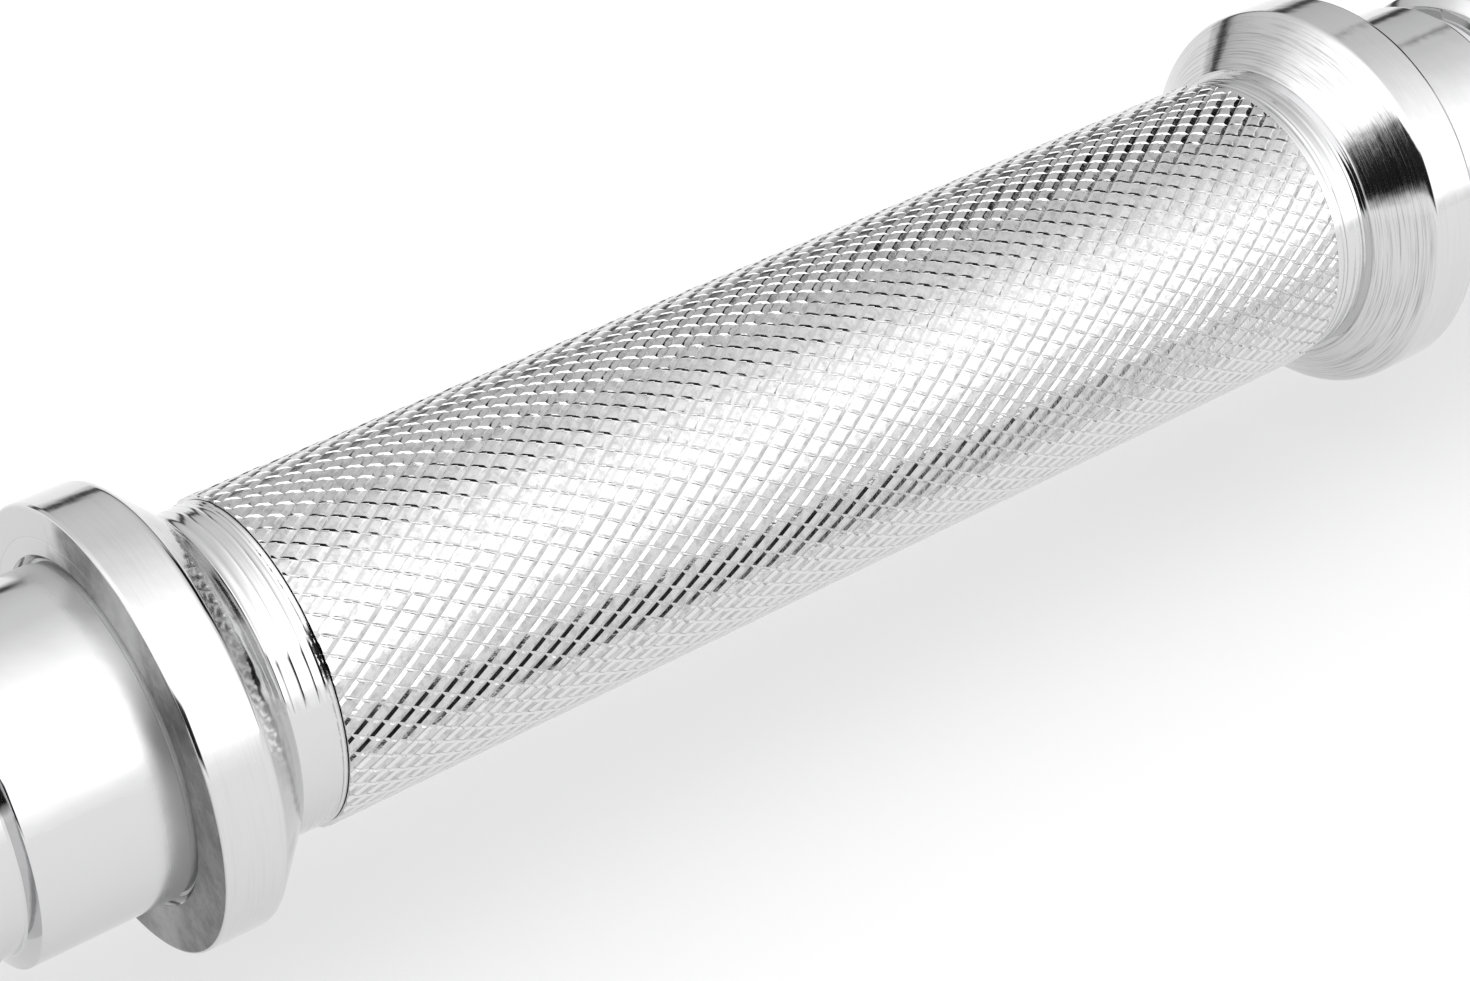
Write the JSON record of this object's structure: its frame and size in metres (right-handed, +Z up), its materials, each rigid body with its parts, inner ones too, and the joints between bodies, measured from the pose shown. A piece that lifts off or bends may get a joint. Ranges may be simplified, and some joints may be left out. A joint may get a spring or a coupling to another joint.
{
  "type": "dumbbell bar",
  "caption": "Short chromed dumbbell bar with a knurled grip, coned stop collars, plain plate seats and coarse threaded ends that carry screw-on star nuts with rubber rings.",
  "frame": {"origin": "middle of the bar, on its axis", "axes": "+X along the bar towards its right end, +Z up with the bar standing on its star nuts"},
  "size_m": [0.35, 0.068, 0.0654],
  "materials": {
    "bar_chrome": "bright chrome over turned and knurled steel",
    "collar_chrome": "bright chrome over turned steel, brushed round the cone",
    "nut_chrome": "satin chrome over a steel casting",
    "ring_rubber": "matt black rubber"
  },
  "bodies": {
    "bar": {"bar": "bar_chrome", "left_collar": "collar_chrome", "right_collar": "collar_chrome"},
    "left_ring": {"left_ring": "ring_rubber"},
    "left_nut": {"left_nut": "nut_chrome"},
    "right_ring": {"right_ring": "ring_rubber"},
    "right_nut": {"right_nut": "nut_chrome"}
  },
  "joints": [
    {"name": "left_nut_travel", "type": "slide", "parent": "bar", "child": "left_ring", "axis": [-1, 0, 0], "range_m": [-0.0626, 0.0351]},
    {"name": "left_nut_turn", "type": "hinge", "parent": "left_ring", "child": "left_nut", "pos_m": [-0.155, 0, 0], "axis": [-1, 0, 0], "range_deg": [-4500, 2520]},
    {"name": "right_nut_travel", "type": "slide", "parent": "bar", "child": "right_ring", "axis": [1, 0, 0], "range_m": [-0.0626, 0.0351]},
    {"name": "right_nut_turn", "type": "hinge", "parent": "right_ring", "child": "right_nut", "pos_m": [0.155, 0, 0], "axis": [1, 0, 0], "range_deg": [-4500, 2520]}
  ],
  "couplings": [
    {"joint": "left_nut_travel", "follows": "left_nut_turn", "m_per_rad": 0.00079577},
    {"joint": "right_nut_travel", "follows": "right_nut_turn", "m_per_rad": 0.00079577}
  ]
}
